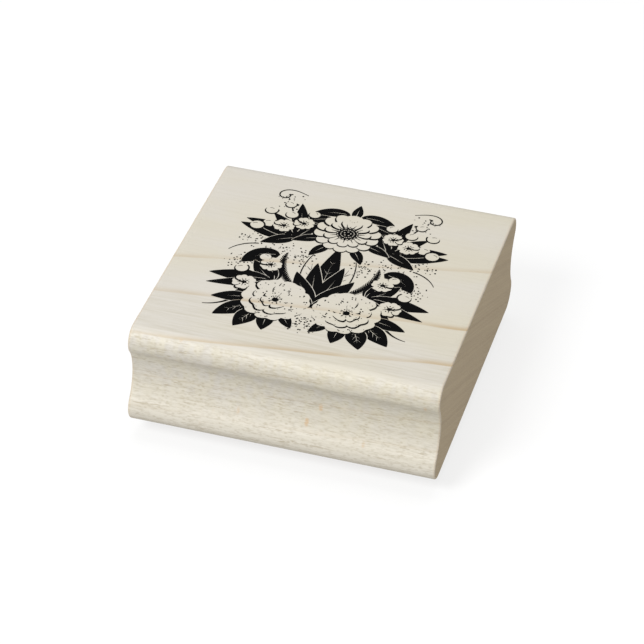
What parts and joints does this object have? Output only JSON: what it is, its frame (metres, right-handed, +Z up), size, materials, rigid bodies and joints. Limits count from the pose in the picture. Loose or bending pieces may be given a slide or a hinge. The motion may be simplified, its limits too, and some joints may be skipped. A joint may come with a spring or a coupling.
{
  "type": "rubber stamp",
  "caption": "Wood-mounted rubber stamp: moulded maple block with finger coves, a floral index print on top and a cushioned red rubber die underneath.",
  "frame": {"origin": "centre of the block's outline, on the printing face that the stamp stands on", "axes": "+Z up through the block; X along the moulding, +X to the right; -Y is the front as the index print is read"},
  "size_m": [0.0636, 0.0672, 0.0267],
  "materials": {
    "maple": "sanded smooth, unfinished",
    "ink": "matt printed ink",
    "adhesive": "clear double-sided film",
    "foam": "closed-cell foam, matt",
    "die_rubber": "matt moulded red rubber"
  },
  "bodies": {
    "mount": {"wood_block": "maple", "index_print": "ink", "mount_adhesive": "adhesive", "foam_cushion": "foam"},
    "die": {"die_adhesive": "adhesive", "rubber_die": "die_rubber"}
  },
  "joints": [
    {"name": "cushion_give", "type": "slide", "parent": "mount", "child": "die", "axis": [0, 0, 1], "range_m": [0, 0.0005], "stiffness_N_per_m": 20000, "deforming": ["foam_cushion"]}
  ]
}
